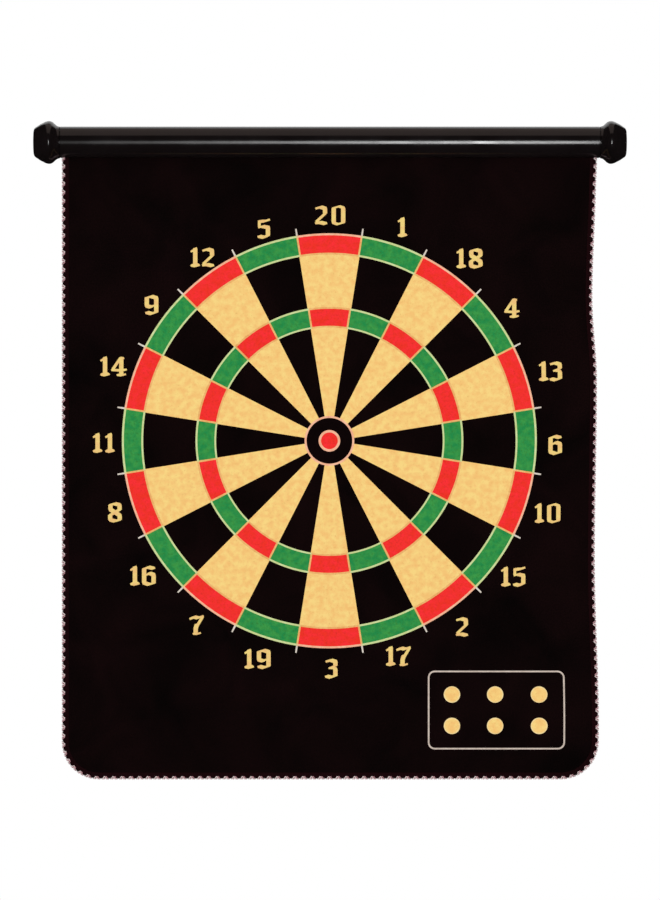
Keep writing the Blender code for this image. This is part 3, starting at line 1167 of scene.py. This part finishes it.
def thread_run(name, points, radius, material_index, ends):
    """A length of thread through these points, before it is laid along the edge."""
    line = bpy.data.curves.new(name, "CURVE")
    line.dimensions = "3D"
    line.bevel_depth = radius
    line.bevel_resolution = 1
    line.use_fill_caps = ends
    spline = line.splines.new("POLY")
    spline.points.add(len(points) - 1)
    for point, place in zip(spline.points, points):
        point.co = (*place, 1)
    run = bpy.data.objects.new(name, line)
    bpy.context.scene.collection.objects.link(run)
    pick(run)
    bpy.ops.object.convert(target="MESH")
    run = bpy.context.object
    for material in threads:
        run.data.materials.append(material)
    for face in run.data.polygons:
        face.material_index = material_index
    return run


def sew_along_edge(cell, pitch):
    """Repeats a cell along the edge line, notes each copy's strip, and stands it upright."""
    faces_each = len(cell.data.polygons)
    apply_modifier(
        cell,
        "ARRAY",
        fit_type="FIT_CURVE",
        curve=edge_line,
        use_relative_offset=False,
        use_constant_offset=True,
        constant_offset_displace=(pitch, 0, 0),
        use_merge_vertices=True,
        merge_threshold=2e-5,
    )
    apply_modifier(cell, "CURVE", object=edge_line, deform_axis="POS_X")
    cell.rotation_euler.x = math.pi / 2
    settle(cell, cell.name)
    mesh = cell.data
    keys = mesh.attributes.new("strip", "INT", "FACE")
    copies = {}
    for face in mesh.polygons:
        copies.setdefault(face.index // faces_each, []).append(face)
    for faces in copies.values():
        x = sum(face.center.x for face in faces) / len(faces)
        z = sum(face.center.z for face in faces) / len(faces)
        index = sum(z < seam for seam in seams)
        key = 2 * index + (x > 0 and index < len(seams))
        for face in faces:
            keys.data[face.index].value = key
    return cell


# Base: a half round over the edge, drawn in over both faces.
bpy.ops.object.select_all(action="DESELECT")
bpy.ops.mesh.primitive_circle_add(
    vertices=20, radius=BAND_RADIUS, location=(0, BAND_RADIUS, 0), rotation=(0, math.pi / 2, 0)
)
band = settle(bpy.context.object, "edge_base", *threads)
start_edit(band)
select_where(band, "verts", lambda v: v.co.y > BAND_RADIUS + 1e-6)
bpy.ops.mesh.delete(type="VERT")
select_where(band, "verts", lambda v: v.co.y > BAND_RADIUS - 1e-6)
bpy.ops.mesh.extrude_region_move(
    TRANSFORM_OT_translate={"value": (0, EDGE_REACH - BAND_RADIUS, 0)}
)
bpy.ops.mesh.select_all(action="SELECT")
bpy.ops.mesh.extrude_region_move(TRANSFORM_OT_translate={"value": (BAND_CELL, 0, 0)})
bpy.ops.mesh.select_all(action="SELECT")
bpy.ops.mesh.normals_make_consistent(inside=False)
mesh = bmesh.from_edit_mesh(band.data)
if sum(f.normal.z * f.calc_center_median().z for f in mesh.faces) < 0:
    bpy.ops.mesh.flip_normals()
end_edit()
sew_along_edge(band, BAND_CELL)

# Wraps: from one face, round the edge, and in over the other.
start, tight, fold_start, fold_end, tight_again, end = WRAP_ALONG
fold = []
for i in range(FOLD_STEPS + 1):
    turn = math.radians(90 - 180 * i / FOLD_STEPS)
    fold.append(
        (
            fold_start + (fold_end - fold_start) * i / FOLD_STEPS,
            WRAP_DEPTH * (1 - math.cos(turn)) - WRAP_STAND,
            WRAP_DEPTH * math.sin(turn),
        )
    )
wrap = thread_run(
    "edge_wraps",
    [
        (start, EDGE_REACH, BAND_RADIUS),
        (tight, EDGE_REACH - WRAP_DIP, WRAP_DEPTH),
        *fold,
        (tight_again, EDGE_REACH - WRAP_DIP, -WRAP_DEPTH),
        (end, EDGE_REACH, -BAND_RADIUS),
    ],
    WRAP_RADIUS,
    1,
    True,
)
sew_along_edge(wrap, WRAP_PITCH)

# Loopers: two threads that weave over the edge from face to face, one close behind the other.
loopers = []
for name, start, material_index in (("edge_looper_rose", 0.0, 2), ("edge_looper_pale", 65.0, 3)):
    points = []
    for i in range(LOOPER_STEPS + 1):
        lean = math.radians(90) * math.cos(math.radians(start + 360 * i / LOOPER_STEPS))
        points.append(
            (
                LOOPER_PITCH * i / LOOPER_STEPS,
                BAND_RADIUS - (LOOPER_DEPTH + LOOPER_STAND) * math.cos(lean),
                LOOPER_DEPTH * math.sin(lean),
            )
        )
    loopers.append(
        sew_along_edge(thread_run(name, points, LOOPER_RADIUS, material_index, False), LOOPER_PITCH)
    )

edging = join([band, wrap, *loopers])
bpy.data.objects.remove(edge_line)
smooth(edging, 60)
chart(edging)
let_hang(edging)
for key in range(2 * len(seams) + 1):
    pick(edging)
    index, right = divmod(key, 2)
    if index < len(seams):
        strip_keys = edging.data.attributes["strip"].data
        chosen = [item.value == key for item in strip_keys]
        bpy.ops.object.mode_set(mode="EDIT")
        bpy.ops.mesh.select_all(action="DESELECT")
        bpy.ops.object.mode_set(mode="OBJECT")
        edging.data.polygons.foreach_set("select", chosen)
        bpy.ops.object.mode_set(mode="EDIT")
        bpy.ops.mesh.select_mode(type="FACE")
        bpy.ops.mesh.separate(type="SELECTED")
        bpy.ops.object.mode_set(mode="OBJECT")
        strip = next(o for o in bpy.context.selected_objects if o != edging)
        side = "right" if right else "left"
        strip.name = strip.data.name = f"edge_stitching_{side}_{index + 1}"
        nodes = nodes_of("edging_" + side, index)
    else:
        strip = edging
        strip.name = strip.data.name = "edge_stitching_bottom"
        nodes = ["edging_bottom"]
    strip.data.attributes.remove(strip.data.attributes["strip"])
    bend_with_mat(strip)
    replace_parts(strip, *nodes)


# ---- Studio ----
# A pale floor well below the hanging mat, white surroundings, and soft lights. A window-like
# row of panels behind the camera draws the thin line along the rail, and the overhead one its
# top band.

SKY_SEEN, SKY_DIFFUSE, SKY_GLOSSY = 1.0, 0.765, 0.006  # how bright, by what meets it
FLOOR_RADIUS, FLOOR_LEVEL, FLOOR_DEPTH = 0.58, -0.62, 0.01

world = bpy.data.worlds.new("studio")
bpy.context.scene.world = world
world.use_nodes = True
sky = world.node_tree.nodes["Background"]
ray = add_node(world, "ShaderNodeLightPath")
dim = add_node(
    world,
    "ShaderNodeMix",
    {0: ray.outputs["Is Diffuse Ray"], 2: SKY_GLOSSY, 3: SKY_DIFFUSE},
    data_type="FLOAT",
)
seen = add_node(
    world,
    "ShaderNodeMix",
    {0: ray.outputs["Is Camera Ray"], 2: dim.outputs[0], 3: SKY_SEEN},
    data_type="FLOAT",
)
sky.inputs["Color"].default_value = (1, 1, 1, 1)
world.node_tree.links.new(seen.outputs[0], sky.inputs["Strength"])

bpy.ops.object.select_all(action="DESELECT")
bpy.ops.mesh.primitive_circle_add(
    vertices=96, radius=FLOOR_RADIUS, fill_type="NGON", location=(0, 0, FLOOR_LEVEL)
)
floor_paint, shader = new_finish("pale_floor_paint", 0.7)
shader.inputs["Base Color"].default_value = linear("#ECEBE8")
floor = settle(bpy.context.object, "studio_floor", floor_paint)
start_edit(floor, "FACE")
bpy.ops.mesh.select_all(action="SELECT")
bpy.ops.mesh.extrude_region_move(TRANSFORM_OT_translate={"value": (0, 0, -FLOOR_DEPTH)})
end_edit()
face_outwards(floor)
apply_modifier(floor, "BEVEL", width=0.003, segments=3, limit_method="ANGLE")
floor.visible_glossy = False  # so that the glossy rail stays dark below its highlight


def panel(name, place, aim, size, power, colour="#FFFFFF"):
    """A rectangular soft light at place, turned to face aim."""
    lamp = bpy.data.lights.new(name, "AREA")
    lamp.shape = "RECTANGLE"
    lamp.size, lamp.size_y = size
    lamp.energy = power
    lamp.color = linear(colour)[:3]
    stand = bpy.data.objects.new(name, lamp)
    bpy.context.scene.collection.objects.link(stand)
    stand.location = place
    stand.rotation_euler = (Vector(aim) - Vector(place)).to_track_quat("-Z", "Y").to_euler()
    return stand


# The front window is brightest a little right of the middle and fades out to the left: panels
# side by side, each with its own glow.
FRONT_HEIGHT = 1.0
FRONT_DISTANCE, FRONT_LEVEL = 3.2, -0.2
for name, left, right, glow in (
    ("front_panel_far_left", -0.45, -0.30, 0.25),
    ("front_panel_left", -0.30, -0.13, 1.2),
    ("front_panel_mid_left", -0.13, 0.0, 3.4),
    ("front_panel_middle", 0.0, 0.12, 7.5),
    ("front_panel_core", 0.12, 0.32, 22.0),
    ("front_panel_right", 0.32, 0.45, 2.0),
):
    middle, width = (left + right) / 2, right - left
    power = glow * math.pi * width * FRONT_HEIGHT
    place, aim = (middle, -FRONT_DISTANCE, FRONT_LEVEL), (middle, 0, FRONT_LEVEL)
    panel(name, place, aim, (width, FRONT_HEIGHT), power)
panel("overhead_softbox", (0, -0.31, 1.5), (0, -0.31, 0), (1.6, 2.1), 4.4, "#FFE6DC")
panel("back_panel", (0, 1.2, 0.95), (0, 0, 0), (1.6, 1.25), 6.3)

PICTURE_HEIGHT = 0.626  # what the camera takes in, from top to bottom, at the mat
PICTURE_MIDDLE = -0.2139
CAMERA_DISTANCE = 3.0
SENSOR_WIDTH = 36  # millimetres
camera = bpy.data.cameras.new("camera")
camera.sensor_width = SENSOR_WIDTH
camera.lens = SENSOR_WIDTH * CAMERA_DISTANCE / PICTURE_HEIGHT
viewer = bpy.data.objects.new("camera", camera)
bpy.context.scene.collection.objects.link(viewer)
viewer.location = (0, -CAMERA_DISTANCE, PICTURE_MIDDLE)
viewer.rotation_euler = (math.pi / 2, 0, 0)
bpy.context.scene.camera = viewer
bpy.context.scene.view_settings.view_transform = "Standard"
